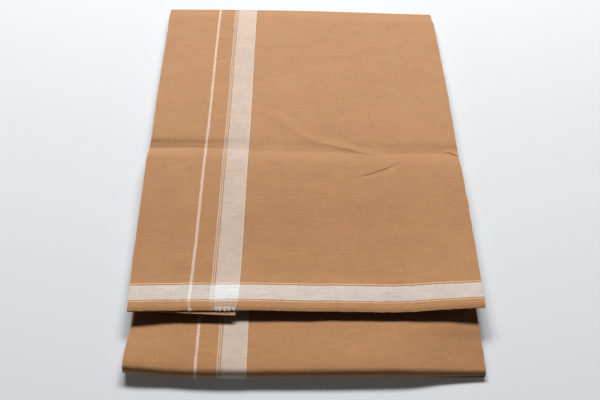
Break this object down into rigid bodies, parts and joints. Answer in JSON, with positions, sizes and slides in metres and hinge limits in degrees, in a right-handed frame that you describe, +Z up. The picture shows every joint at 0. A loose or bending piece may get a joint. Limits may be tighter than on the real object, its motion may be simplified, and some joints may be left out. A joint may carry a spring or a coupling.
{
  "type": "folded dhoti cloth",
  "caption": "Ochre cotton dhoti cloth with off-white woven stripes, folded flat into an oblong packet whose striped end lies on top.",
  "frame": {"origin": "on the surface under the middle of the packet", "axes": "+Z up; +Y along the packet to its back fold, so the front fold and the flap's cut end face -Y; +X to the right seen from the front"},
  "size_m": [0.3237, 0.5002, 0.0202],
  "materials": {
    "ochre_cotton": "plain-woven ochre brown cotton, matt",
    "border_cotton": "the same cotton with off-white woven warp stripes, matt"
  },
  "bodies": {
    "root": {"flap_main": "ochre_cotton", "flap_turnover": "border_cotton", "second_ply_lip": "ochre_cotton", "lower_wrap": "ochre_cotton", "lower_turnover": "border_cotton", "hidden_plies": "ochre_cotton"}
  },
  "joints": []
}
